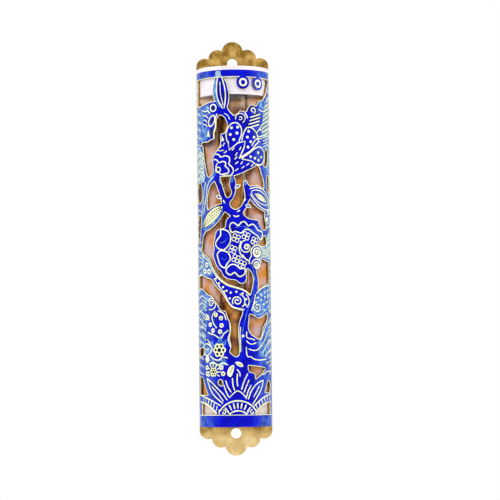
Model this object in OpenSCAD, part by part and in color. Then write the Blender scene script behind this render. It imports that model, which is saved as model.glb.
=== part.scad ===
// Mezuzah case: a half-round pierced and enamelled brass cover on a scalloped brass back
// plate, with a clear scroll tube held between two white plastic end plugs.
// Origin: centre of the back plate's rear face. +Z up, +Y into the door post, front at -Y.

/* [Case] */
// Height of the closed case, from the cover's lower edge to the top of the upper plug
case_h = 128; // [100:1:160]
// Outer radius of the half-round cover
cover_r = 13; // [10:0.5:18]
// Thickness of the brass sheet of the cover
cover_wall = 0.55; // [0.4:0.05:1.2]
// Thickness of the enamel on the cover
enamel_t = 0.25; // [0.15:0.05:0.4]
// Height of the uncut side rail next to the back plate
rail_h = 3; // [2:0.1:4]
// Bare brass left round each opening, between its edge and the enamel
rim = 0.35; // [0.2:0.05:0.5]

/* [Bands] */
// Height of the plain band round the lower end
lower_band_h = 4.2; // [3:0.1:8]
// Height of the plain band round the upper end
upper_band_h = 2.6; // [2:0.1:8]
// Bare brass line between neighbouring enamel fields
line_w = 0.4; // [0.2:0.1:0.8]

/* [Back plate] */
// Thickness of the back plate
plate_t = 0.9; // [0.6:0.1:2]
// Diameter of the nail holes
nail_d = 3.7; // [2.5:0.1:4.5]
// Distance from each end of the case to the nearest nail hole's centre
nail_offset = 2.5; // [2.4:0.1:4]

/* [Scallops] */
// Radius of the lobe at the tip of each end of the plate
tip_r = 3.87; // [3:0.1:4.5]
// Height of that lobe's centre beyond the case
tip_rise = 6.55; // [5:0.1:8]
// Radius of the lobe on each side of the tip
side_r = 3.25; // [2.5:0.1:4]
// Height of the side lobes' centres beyond the case
side_rise = 4.3; // [3.5:0.1:5]
// Distance of the side lobes' centres from the middle
side_x = 5.35; // [4.5:0.1:6]
// Radius of the lobe at each corner
corner_r = 3.05; // [2.8:0.1:4]
// Height of the corner lobes' centres beyond the case
corner_rise = 1.45; // [1:0.1:2]

/* [Scroll tube] */
// Distance of the clear tube from the cover's crown and from the plate
tube_gap = 0.7; // [0.5:0.1:1.5]
// Wall of the clear tube
tube_wall = 0.8; // [0.5:0.1:1.5]

/* [Plugs] */
// Thickness of the upper plug's flange, which rests on the cover
flange_t = 1.4; // [1:0.1:3]
// Depth of the upper plug inside the cover
top_plug_h = 8.6; // [8:0.1:16]
// Height of the lower plug
bottom_plug_h = 7.7; // [6:0.1:16]
// How far the lower plug sits above the cover's lower edge
plug_recess = 0.3; // [0:0.1:1]
// Depth of the tube in the upper plug
top_socket = 6; // [4:0.1:7]
// Depth of the tube in the lower plug
bottom_socket = 4; // [3:0.1:5]
// Free length left between the tube's lower end and the lower plug
tube_play = 0.3; // [0.1:0.1:1]
// Gap round each plug inside the cover
plug_gap = 0.15; // [0.1:0.05:0.3]
// Gap round the tube in each socket
socket_gap = 0.05; // [0.02:0.01:0.1]

/* [Solder] */
// Leg of the solder fillet inside each long edge of the cover
seam = 0.8; // [0.5:0.1:1]
// Distance of the solder fillets from the plugs
seam_gap = 2; // [1:0.5:6]

/* [Hidden] */
$fn = 96;

past = 1;                                   // how far a cutter runs past what it cuts
plate_front = -plate_t;                     // Y of the plate's front face
half_h = case_h / 2;
sheet_r = cover_r - enamel_t;               // outer radius of the brass sheet
inner_r = sheet_r - cover_wall;             // inner radius of the cover
cover_h = case_h - flange_t;                // length of the cover itself
tube_r = inner_r / 2 - tube_gap;
tube_y = plate_front - inner_r / 2;         // tube axis midway between plate and crown
plug_back = plate_front - plug_gap;
plug_r = inner_r - plug_gap;
tube_low = plug_recess + bottom_plug_h - bottom_socket + tube_play;
tube_top = cover_h - top_plug_h + top_socket;

// The pierced artwork is drawn on the unrolled cover: u is the arc length from the centre
// line and v the height, for a cover of this radius with a panel between these heights.
art_r = 13;
art_low = 4.2;
art_high = 124;
art_shift = 0.4;                            // the artwork's middle lies this far to the right
panel_low = lower_band_h;
panel_high = cover_h - upper_band_h;
rounding = 1;                               // corner-cutting passes on each outline

// Heights in the artwork where one enamel field ends and the next begins
field_v = [art_low, 17.4, 41, 50.2, 74.2, 88.4, 103.2, art_high];

// Openings of the artwork, anticlockwise or clockwise, as [u, v]
windows = [
    // beside and below the hanging leaf, round the rings
    [[-20, 124], [-7, 124], [-8.4, 120.5], [-8.2, 117.3], [-7.2, 115], [-9.5, 115.2],
     [-13, 114.2], [-20, 115]],
    [[-4.2, 124], [-2, 120.3], [-1.3, 117], [-1.5, 115], [-2.5, 113.2], [-0.4, 110.3],
     [2, 111.9], [4.2, 111.5], [6, 114.2], [9, 115], [12.2, 116.4], [14, 119], [16.4, 122.5],
     [16.6, 124]],
    // between the small bird and the great bird
    [[-5.5, 110.8], [-4, 110.4], [-2.3, 107.3], [-2.8, 105], [-4.8, 103.7], [-5.2, 99.8],
     [-8.3, 95], [-8, 92], [-8.4, 89.8], [-9.8, 88.4], [-11.1, 89], [-13, 95.5],
     [-13.3, 99.6], [-15.4, 100.7], [-10.7, 101.1], [-7, 102], [-7.5, 104], [-6.6, 106]],
    // round the forked twig and its leaves
    [[-7.4, 87.4], [-6, 83], [-4.4, 78.8], [-8, 78], [-11.1, 77], [-11.2, 80], [-10, 84.4]],
    [[-5.6, 88.8], [-1, 88.6], [-1.8, 85.5], [-1, 82.3], [-2.2, 80.7], [-3.8, 83.5]],
    [[-0.1, 88.8], [0.6, 85], [0, 81.2], [-2, 78.8], [-1.2, 77.2], [0.3, 76.7],
     [3.8, 80.6], [3.2, 85.4], [3.9, 87.2], [5.4, 84.9], [9, 85.4], [12.4, 84.1],
     [12.2, 87], [9.9, 92.6], [7.6, 92.2], [3, 89.5]],
    [[5.3, 80.9], [8.6, 77.3], [13.2, 75.9], [12.7, 73], [13.8, 70], [10.9, 69.6],
     [9, 73], [5.3, 73.4], [2.7, 75.2]],
    // round the left of the flower
    [[-3.6, 76.3], [-1.1, 74.4], [-3, 73], [-4, 70.1], [-6.9, 69.7], [-8.5, 64.6],
     [-8.6, 60.2], [-5.4, 55], [-4.2, 52.4], [0.4, 51.5], [2.2, 50], [4.1, 52], [4.3, 57],
     [6.8, 53.3], [6.3, 49.5], [5.2, 45.8], [1.9, 48.8], [-4, 51], [-7.7, 55],
     [-10, 59.7], [-15.5, 62.3], [-13.8, 69], [-6.8, 71.8]],
    // above and right of the trunk
    [[-20, 53.7], [-13, 53.5], [-8.9, 52.2], [-4.6, 46.6], [-2.6, 43], [2.7, 41],
     [0.7, 36], [0.6, 32], [1.2, 28], [0.2, 24.2], [-2.6, 26], [-1.5, 28.5], [-2.4, 31.3],
     [-1.5, 35], [-3.6, 41], [-5.8, 41], [-9.3, 46.3], [-12, 47], [-15, 49.1],
     [-20, 49.1]],
    [[4.9, 39.9], [8.3, 38], [14, 40.6], [13.2, 37.2], [10.9, 35], [9.7, 30.7],
     [7.5, 30.9], [4.7, 33]],
    [[8.8, 64.1], [12.2, 68.3], [14, 65], [12, 63.7]],
    [[10.4, 59.7], [14.1, 58.6], [13.8, 50.6], [7.9, 47.9], [8.8, 51.5], [7.6, 55]],
    [[3.8, 21.7], [12.6, 20.7], [7, 16.3], [6.8, 19]],
    [[-7.2, 15.4], [-6, 17.1], [-4.8, 15.6], [-6, 14.2]],
    // round the arms of the fan
    [[-16.6, 4.2], [-16.6, 8.5], [-12, 7.9], [-7, 4.2]],
    [[6.4, 4.2], [8.6, 7.2], [15.8, 8.7], [15.8, 4.2]],
    [[-16.9, 11.3], [-16.9, 17.2], [-14.4, 16.6], [-11.4, 11]],
    [[11, 11.6], [13.2, 15.9], [16, 16.8], [15.8, 12.2]],
    // along the side rails, the left ones and then the right ones
    [[-20, 86.7], [-14.6, 86.4], [-14.2, 80], [-20, 79.7]],
    [[-20, 75.2], [-15.4, 75], [-15.3, 71], [-16.6, 66.6], [-20, 65.2]],
    [[-20, 27.9], [-14.2, 28.2], [-13.1, 26.8], [-14.6, 25], [-20, 24.8]],
    [[11.9, 92.6], [12.9, 95], [13.2, 98.9], [15.1, 99], [14.9, 94], [13.4, 91.8]],
    [[13.9, 89.4], [15.9, 89.4], [16, 83], [14.1, 83.4]]
];

// Rings that hang from the upper band into an opening, as [u, v]
rings = [[3.5, 122.3], [9.8, 122.2]];
ring_r = 2.4;

// Leaflets that grow from the forked twig into the openings, as [u, v, angle]
leaflets = [[1, 84.9, 35], [-5.8, 81.3, 150], [4.9, 78, -20]];
leaflet_l = 2.6;
leaflet_w = 1.4;

// Height on the cover of a height in the artwork
function panel_v(v) =
    panel_low + (v - art_low) * (panel_high - panel_low) / (art_high - art_low);

// Where a point of the artwork lies on the cover, looking at it from the front
function on_front(p) =
    [cover_r * (sin(p[0] / art_r * 180 / PI) + art_shift / art_r), panel_v(p[1])];

// A closed outline with each corner cut off at a quarter of the sides that meet there
function cut_corners(pts, passes) =
    passes == 0 ? pts :
    cut_corners([for (i = [0:len(pts) - 1]) let (a = pts[i], b = pts[(i + 1) % len(pts)])
        for (t = [0.25, 0.75]) a + (b - a) * t], passes - 1);

// Twice the signed area of an outline: positive when it runs anticlockwise
function turn(pts) =
    [for (i = [0:len(pts) - 1]) let (a = pts[i], b = pts[(i + 1) % len(pts)])
        a[0] * b[1] - b[0] * a[1]] * [for (i = pts) 1];

// The outward normal of the side from a to b, for an outline that runs anticlockwise
function side_normal(a, b) = [b[1] - a[1], a[0] - b[0]] / norm(b - a);

// An outline moved outward by d, each point along the mean normal of its two sides
function grown(pts, d) = let (n = len(pts), s = sign(turn(pts)))
    [for (i = [0:n - 1]) let (
        m = side_normal(pts[(i + n - 1) % n], pts[i]) + side_normal(pts[i], pts[(i + 1) % n])
    ) pts[i] + s * d * m / norm(m)];

function lowest(pts) = min([for (p = pts) panel_v(p[1])]);
function highest(pts) = max([for (p = pts) panel_v(p[1])]);

// Moves a shape drawn in the XZ plane of the front to its height on the plate
module at_height(v) { translate([0, 0, v - half_h]) children(); }

// Extrudes a front-view outline, from the side rail forwards past the crown
module cut_through() {
    translate([0, plate_front - rail_h, -half_h])
        rotate([90, 0, 0]) linear_extrude(cover_r) children();
}

// A pointed oval with its tips along X, made smaller all round by a margin
module leaflet(margin) {
    half_l = leaflet_l / 2;
    half_w = leaflet_w / 2;
    r = (pow(half_l, 2) + pow(half_w, 2)) / (2 * half_w);
    intersection() {
        translate([0, r - half_w]) circle(r - margin);
        translate([0, half_w - r]) circle(r - margin);
    }
}

// The openings between two heights, each made larger all round by a margin
module openings(low, high, margin) {
    difference() {
        for (w = windows)
            if (highest(w) > low && lowest(w) < high)
                cut_through() polygon(grown(cut_corners([for (p = w) on_front(p)], rounding), margin));
        if (high > panel_high - 3 * ring_r)
            for (p = rings)
                cut_through() translate(on_front(p)) circle(ring_r - margin);
        for (p = leaflets)
            if (high > panel_v(p[1]) - leaflet_l && low < panel_v(p[1]) + leaflet_l)
                cut_through() translate(on_front(p)) rotate(p[2]) leaflet(margin);
    }
}

// A half-round layer in front of the plate, between two radii and two heights
module half_layer(r_in, r_out, low, high, clear) {
    at_height(low) difference() {
        translate([0, plate_front, 0]) cylinder(r = r_out, h = high - low);
        translate([0, plate_front, -past]) cylinder(r = r_in, h = high - low + 2 * past);
        translate([-2 * r_out, plate_front - clear, -past])
            cube([4 * r_out, 2 * r_out, high - low + 2 * past]);
    }
}

// One field of enamel on the cover, held back from its neighbours and from the openings
module enamel_field(low, high) {
    color("mediumblue") difference() {
        half_layer(sheet_r, cover_r, low + line_w / 2, high - line_w / 2, line_w);
        openings(low, high, rim);
    }
}

module panel_field(i) { enamel_field(panel_v(field_v[i]), panel_v(field_v[i + 1])); }

// One end of the plate: a lobe at the tip, one each side of it and one at each corner,
// over a filled middle
module scalloped_end() {
    lobes = [[0, tip_rise, tip_r], [side_x, side_rise, side_r],
             [cover_r - corner_r, corner_rise, corner_r]];
    for (l = lobes, side = [-1, 1])
        translate([side * l[0], l[1]]) circle(l[2]);
    steps = [[tip_r, tip_rise], [cover_r - corner_r, side_rise], [cover_r, corner_rise]];
    for (s = steps)
        translate([-s[0], -past]) square([2 * s[0], s[1] + past]);
}

// A half-round plug, flat towards the plate
module half_round(r, back, low, high) {
    at_height(low) intersection() {
        translate([0, plate_front, 0]) cylinder(r = r, h = high - low);
        translate([-2 * r, back - 2 * r, -past]) cube([4 * r, 2 * r, high - low + 2 * past]);
    }
}

module tube_bore(r, low, high) {
    at_height(low) translate([0, tube_y, 0]) cylinder(r = r, h = high - low);
}

module back_plate() {
    color("goldenrod") difference() {
        rotate([90, 0, 0]) linear_extrude(plate_t) {
            square([2 * cover_r, case_h], center = true);
            for (end = [0, 1]) mirror([0, end, 0]) translate([0, half_h]) scalloped_end();
        }
        for (side = [-1, 1])
            translate([0, past, side * (half_h + nail_offset)])
                rotate([90, 0, 0]) cylinder(d = nail_d, h = plate_t + 2 * past);
    }
}

module front_cover() {
    color("darkgoldenrod") difference() {
        half_layer(inner_r, sheet_r, 0, cover_h, 0);
        openings(0, case_h, 0);
    }
}

module solder_seams() {
    low = plug_recess + bottom_plug_h + seam_gap;
    high = cover_h - top_plug_h - seam_gap;
    color("silver") for (side = [0, 1]) mirror([side, 0, 0])
        at_height(low) linear_extrude(high - low) polygon([
            [inner_r, plate_front], [inner_r - seam, plate_front],
            [sqrt(pow(inner_r, 2) - pow(seam, 2)), plate_front - seam]
        ]);
}

module upper_band_enamel() { enamel_field(panel_high, cover_h); }
module small_birds_enamel() { panel_field(6); }
module great_bird_enamel() { panel_field(5); }
module branch_enamel() { panel_field(4); }
module flower_enamel() { panel_field(3); }
module lower_birds_enamel() { panel_field(2); }
module trunk_enamel() { panel_field(1); }
module fan_enamel() { panel_field(0); }
module lower_band_enamel() { enamel_field(0, panel_low); }

module top_plug() {
    color("white") difference() {
        union() {
            half_round(plug_r, plug_back, cover_h - top_plug_h, case_h);
            half_round(cover_r, plug_back, cover_h, case_h);
        }
        tube_bore(tube_r + socket_gap, cover_h - top_plug_h - past, tube_top);
    }
}

module scroll_tube() {
    color("lightcyan") difference() {
        tube_bore(tube_r, tube_low, tube_top);
        tube_bore(tube_r - tube_wall, tube_low - past, tube_top + past);
    }
}

module bottom_plug() {
    top = plug_recess + bottom_plug_h;
    color("white") difference() {
        half_round(plug_r, plug_back, plug_recess, top);
        tube_bore(tube_r + socket_gap, top - bottom_socket, top + past);
    }
}

back_plate();
front_cover();
solder_seams();
upper_band_enamel();
small_birds_enamel();
great_bird_enamel();
branch_enamel();
flower_enamel();
lower_birds_enamel();
trunk_enamel();
fan_enamel();
lower_band_enamel();
top_plug();
scroll_tube();
bottom_plug();
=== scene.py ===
"""Mezuzah case: the pierced, enamelled cover as fine meshes, and the materials of every piece.

The cover's artwork is drawn on the unrolled cover, in millimetres: u is the arc length from
the centre line and v the height above the cover's lower edge. The drawing is painted like
paper, later shapes over earlier ones, then cut into one flat arrangement of triangles and
wrapped round the cover, where each tone becomes closed solids at its own height.
"""

import math

import bpy
import numpy as np
from mathutils import Matrix, Vector
from mathutils.geometry import delaunay_2d_cdt


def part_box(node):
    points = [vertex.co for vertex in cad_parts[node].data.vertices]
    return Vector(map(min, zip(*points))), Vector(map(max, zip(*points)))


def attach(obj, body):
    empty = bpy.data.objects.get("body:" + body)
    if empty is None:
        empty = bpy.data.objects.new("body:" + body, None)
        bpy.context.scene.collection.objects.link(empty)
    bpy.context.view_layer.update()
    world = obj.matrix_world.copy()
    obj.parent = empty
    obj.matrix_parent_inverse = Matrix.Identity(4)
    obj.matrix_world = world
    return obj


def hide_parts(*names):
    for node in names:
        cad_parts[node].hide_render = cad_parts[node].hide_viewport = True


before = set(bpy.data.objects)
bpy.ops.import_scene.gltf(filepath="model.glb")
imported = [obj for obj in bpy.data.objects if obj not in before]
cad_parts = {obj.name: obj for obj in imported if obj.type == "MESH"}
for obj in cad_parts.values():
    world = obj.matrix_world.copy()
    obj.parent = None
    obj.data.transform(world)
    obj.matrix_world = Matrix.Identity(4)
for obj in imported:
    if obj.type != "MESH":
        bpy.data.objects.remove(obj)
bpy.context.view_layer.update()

MM = 0.001

# ---- sizes, from the frame

PLATE_LOW, PLATE_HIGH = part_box("back_plate")
COVER_LOW, COVER_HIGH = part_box("front_cover")
AXIS_Y = PLATE_LOW.y  # the half-round cover's axis, on the plate
OUTER_R = PLATE_HIGH.x  # outer radius of the enamelled cover
SHEET_R = COVER_HIGH.x  # outer radius of its brass sheet
INNER_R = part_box("solder_seams")[1].x  # inner radius of the sheet
COVER_H = (COVER_HIGH.z - COVER_LOW.z) / MM
HALF_LINE = 0.2  # half a metal line lies between a field's limit and its enamel
BAND_LOW = (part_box("fan_enamel")[0].z - COVER_LOW.z) / MM - HALF_LINE
BAND_HIGH = (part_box("upper_band_enamel")[0].z - COVER_LOW.z) / MM - HALF_LINE
ART_R = OUTER_R / MM  # radius at which the drawing is unrolled
EDGE_U = ART_R * math.pi / 2  # arc length from the centre line to the plate
RAIL_U = EDGE_U - 3.05  # the openings stop here, at the side rails

ENAMEL_SINK = 0.05 * MM  # how far the enamel lies below the lines
LINE_SCALE = 0.87  # drawn lines are this much thinner than listed
LINE_LEAN = 0.7  # how far the lines' surface leans at their edges
ENAMEL_LEAN = 0.12  # and the enamel's
ART_SHIFT = 0.4  # the drawing's middle is this far to the right
RIM = 0.26  # bare metal round each opening
GRID = 1.0  # spacing of the lines that bend with the cover
RINGS = ((3.4, 122.1), (9.5, 121.9))  # rings hanging from the upper band
RING_R = 2.35  # their outer radius
LEAFLETS = ((1, 84.9, 35), (-5.8, 81.3, 150), (4.9, 78, -20))  # on the twig: place and tilt
LEAFLET_L = 2.6  # length and width
LEAFLET_W = 1.4
SIDE_U = 17  # beyond this the drawing isn't shifted
VEIN_END = 19.4  # the side veins end here
VEIN_STEP = 1.3
VEIN_WIDTH = 0.34
FRONT_DARK = 0.85  # brightness of the studio behind the camera
CAMERA_TILT = -3.5  # degrees above the horizon
CAMERA_LEAN = 0.6  # degrees the camera is rolled
CAMERA_FAR = 0.7851  # metres from the case's axis
CAMERA_LENS = 157.35  # millimetres
SENSOR = 36
CAMERA_SHIFT = (0.0316, -0.0047)
FLOOR_DROP = 0.3  # metres from the case's middle down to the floor


# ---- curves in the drawing

def spline(points, closed=False, steps=5):
    """A smooth curve through the points (centripetal Catmull-Rom)."""
    p = [Vector(q) for q in points]
    if len(p) < 3:
        return p
    if closed:
        p = [p[-1], *p, p[0], p[1]]
    else:
        p = [2 * p[0] - p[1], *p, 2 * p[-1] - p[-2]]
    out = []
    for a, b, c, d in zip(p, p[1:], p[2:], p[3:]):
        t1 = (b - a).length ** 0.5
        t2 = t1 + (c - b).length ** 0.5
        t3 = t2 + (d - c).length ** 0.5
        for i in range(steps):
            t = t1 + (t2 - t1) * i / steps
            ab = a + (b - a) * (t / t1)
            bc = b + (c - b) * ((t - t1) / (t2 - t1))
            cd = c + (d - c) * ((t - t2) / (t3 - t2))
            abc = ab + (bc - ab) * (t / t2)
            bcd = bc + (cd - bc) * ((t - t1) / (t3 - t1))
            out.append(abc + (bcd - abc) * ((t - t1) / (t2 - t1)))
    if not closed:
        out.append(p[-2])
    return out


def at(centre, r, angle):
    """The point at a distance and an angle in radians from another."""
    return (centre[0] + r * math.cos(angle), centre[1] + r * math.sin(angle))


def curl(centre, outer, inner, start, sweep, steps=20):
    """A spiral from one radius to the other, its angles in degrees anticlockwise from +u."""
    return [at(centre, outer + (inner - outer) * i / steps, math.radians(start + sweep * i / steps))
            for i in range(steps + 1)]


def arc(centre, radius, start, end, steps=12):
    return curl(centre, radius, radius, start, end - start, steps)


def circle(centre, radius, sides=14):
    return arc(centre, radius, 0, 360 * (sides - 1) / sides, sides - 1)


def joined(*spans):
    """A closed outline of smooth spans that meet at sharp corners."""
    out = []
    for s in spans:
        out += spline(s)[:-1]
    return out


def chained(*spans):
    """A joined outline whose spans each start where the one before ends."""
    starts = [spans[-1][-1], *(s[-1] for s in spans[:-1])]
    return joined(*([a, *s] for a, s in zip(starts, spans)))


def rounded(*points):
    """A closed smooth outline for an opening."""
    return spline(points, True, 3)


def turned(points, centre, tilt):
    """Points drawn round the origin, turned by an angle in degrees and put in place."""
    c, s = math.cos(math.radians(tilt)), math.sin(math.radians(tilt))
    return [(centre[0] + x * c - y * s, centre[1] + x * s + y * c) for x, y in points]


def oval(centre, long, short, tilt, sides=18):
    """A closed ellipse with its long half-axis at the given angle."""
    return turned([(long * x, short * y) for x, y in circle((0, 0), 1, sides)], centre, tilt)


def leaflet(centre, long, wide, tilt):
    """A pointed oval, its length at the given angle."""
    side = [(-long / 2, 0), (-long / 4, wide * 0.38), (0, wide / 2), (long / 4, wide * 0.38)]
    return turned(side + [(-x, -y) for x, y in side], centre, tilt)


def lowered(points, drop):
    return [(u, v - drop) for u, v in points]


def placed(p):
    """A point of the drawing on the cover; the sides stay where they are."""
    if abs(p[0]) >= SIDE_U:
        return Vector(p)
    sine = math.sin(p[0] / ART_R) + ART_SHIFT / ART_R
    return Vector((ART_R * math.asin(min(sine, 1)), p[1]))


class Drawing:
    """A flat painting: every shape covers what was painted before it."""

    def __init__(self):
        self.points = []
        self.edges = []
        self.shapes = []

    def polygon(self, points, tone):
        """A shape exactly as it is."""
        n = len(self.points)
        k = len(points)
        self.points += [Vector(p) for p in points]
        self.edges += [(n + i, n + (i + 1) % k) for i in range(k)]
        self.shapes.append((n, n + k, tone))

    def strip(self, a, b, tone):
        """The cover's whole height between two arc lengths."""
        self.polygon([(a, 0), (b, 0), (b, COVER_H), (a, COVER_H)], tone)

    def rule(self, a, b):
        """A straight line that only divides triangles."""
        n = len(self.points)
        self.points += [Vector(a), Vector(b)]
        self.edges.append((n, n + 1))

    def fill(self, points, tone, smooth=True):
        """A closed shape."""
        pts = spline(points, closed=True, steps=4) if smooth else points
        self.polygon([placed(p) for p in pts], tone)

    def flat(self, points, tone):
        """A closed shape with straight sides."""
        self.fill(points, tone, smooth=False)

    def disc(self, centre, radius, sides, tone):
        self.flat(circle(centre, radius, sides), tone)

    def buttons(self, centres, radius, hole, tone):
        """Pale discs, each with a dot of another tone."""
        for c in centres:
            self.disc(c, radius, 12, "line")
            self.dots([c], hole, tone)

    def stroke(self, points, width=0.45, tone="line", closed=False, smooth=True, ends=True):
        """A line of even width, with round ends."""
        p = spline(points, closed, steps=4) if smooth else [Vector(q) for q in points]
        p = [placed(q) for q in p]
        n = len(p)
        left, right = [], []
        for i in range(n):
            a = p[(i - 1) % n] if closed or i > 0 else p[i]
            b = p[(i + 1) % n] if closed or i < n - 1 else p[i]
            d = (b - a).normalized() * width * LINE_SCALE / 2
            left.append(p[i] + Vector((-d.y, d.x)))
            right.append(p[i] + Vector((d.y, -d.x)))
        for i in range(n if closed else n - 1):
            j = (i + 1) % n
            self.polygon([left[i], right[i], right[j], left[j]], tone)
        if ends and not closed:
            for q in (p[0], p[-1]):
                self.polygon(circle(q, width * LINE_SCALE / 2, 8), tone)

    def bend(self, points, width, tone="line"):
        """A stroke straight from point to point, for arcs and curls."""
        self.stroke(points, width, tone, smooth=False)

    def strokes(self, width, *paths, tone="line"):
        for points in paths:
            self.stroke(points, width, tone)

    def dots(self, centres, radius, tone="line"):
        for c in centres:
            self.disc(c, radius, 10, tone)

    def dashes(self, centres, length, angle, width=0.4):
        a = math.radians(angle)
        for c in centres:
            self.stroke([at(c, -length / 2, a), at(c, length / 2, a)], width)

    def fan(self, centre, inner, outer, angles, width=0.4, tone="line"):
        """Strokes like spokes between two radii."""
        for a in map(math.radians, angles):
            self.stroke([at(centre, inner, a), at(centre, outer, a)], width, tone)

    def loops(self, centre, radius, petals):
        """A small flower of open loops."""
        for i in range(petals):
            a = 2 * math.pi * (i + 0.25) / petals
            self.ring(at(centre, radius * 0.58, a), radius * 0.4, 0.32)

    def floret(self, centre, radius, petals):
        """A small flower: a ring of dots round a dark heart."""
        for i in range(petals):
            c = at(centre, radius * 0.62, 2 * math.pi * i / petals)
            self.disc(c, radius * 0.42, 9, "line")
            self.disc(c, radius * 0.2, 8, "dark")
        self.disc(centre, radius * 0.3, 10, "dark")

    def ring(self, centre, radius, width, tone="line"):
        self.stroke(circle(centre, radius, 18), width, tone, closed=True, smooth=False)

    def window(self, outline):
        """An opening right through the cover, with a rim of bare metal round it."""
        self.stroke(outline, 2 * RIM, closed=True, smooth=False)
        edge = [placed(p) for p in outline]
        self.polygon([(max(-RAIL_U, min(RAIL_U, p.x)), p.y) for p in edge], "hole")

    def triangles(self):
        """(points, [(corners, tone)]) of the finished painting."""
        points, _, tris = delaunay_2d_cdt(self.points, self.edges, [], 0, 1e-4, False)[:3]
        flat = np.array([p[:] for p in points])
        corners = np.array(tris)
        middle = flat[corners].mean(axis=1)
        order = np.argsort(middle[:, 1])
        corners, middle = corners[order], middle[order]
        top = np.full(len(corners), -1)
        for number, (start, end, tone) in enumerate(self.shapes):
            outline = np.array([p[:] for p in self.points[start:end]])
            low, high = outline.min(axis=0), outline.max(axis=0)
            first, last = np.searchsorted(middle[:, 1], (low[1], high[1]))
            near = middle[first:last]
            inside = np.nonzero((near[:, 0] > low[0]) & (near[:, 0] < high[0]))[0]
            u, v = near[inside].T
            turns = np.zeros(len(inside), int)
            for a, b in zip(outline, np.roll(outline, -1, axis=0)):
                side = (b[0] - a[0]) * (v - a[1]) - (u - a[0]) * (b[1] - a[1])
                turns += (a[1] <= v) & (b[1] > v) & (side > 0)
                turns -= (a[1] > v) & (b[1] <= v) & (side < 0)
            top[first + inside[turns != 0]] = number
        tones = [shape[2] for shape in self.shapes]
        return points, [(tuple(c), tones[t]) for c, t in zip(corners.tolist(), top) if t >= 0]


# ---- the artwork

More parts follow.
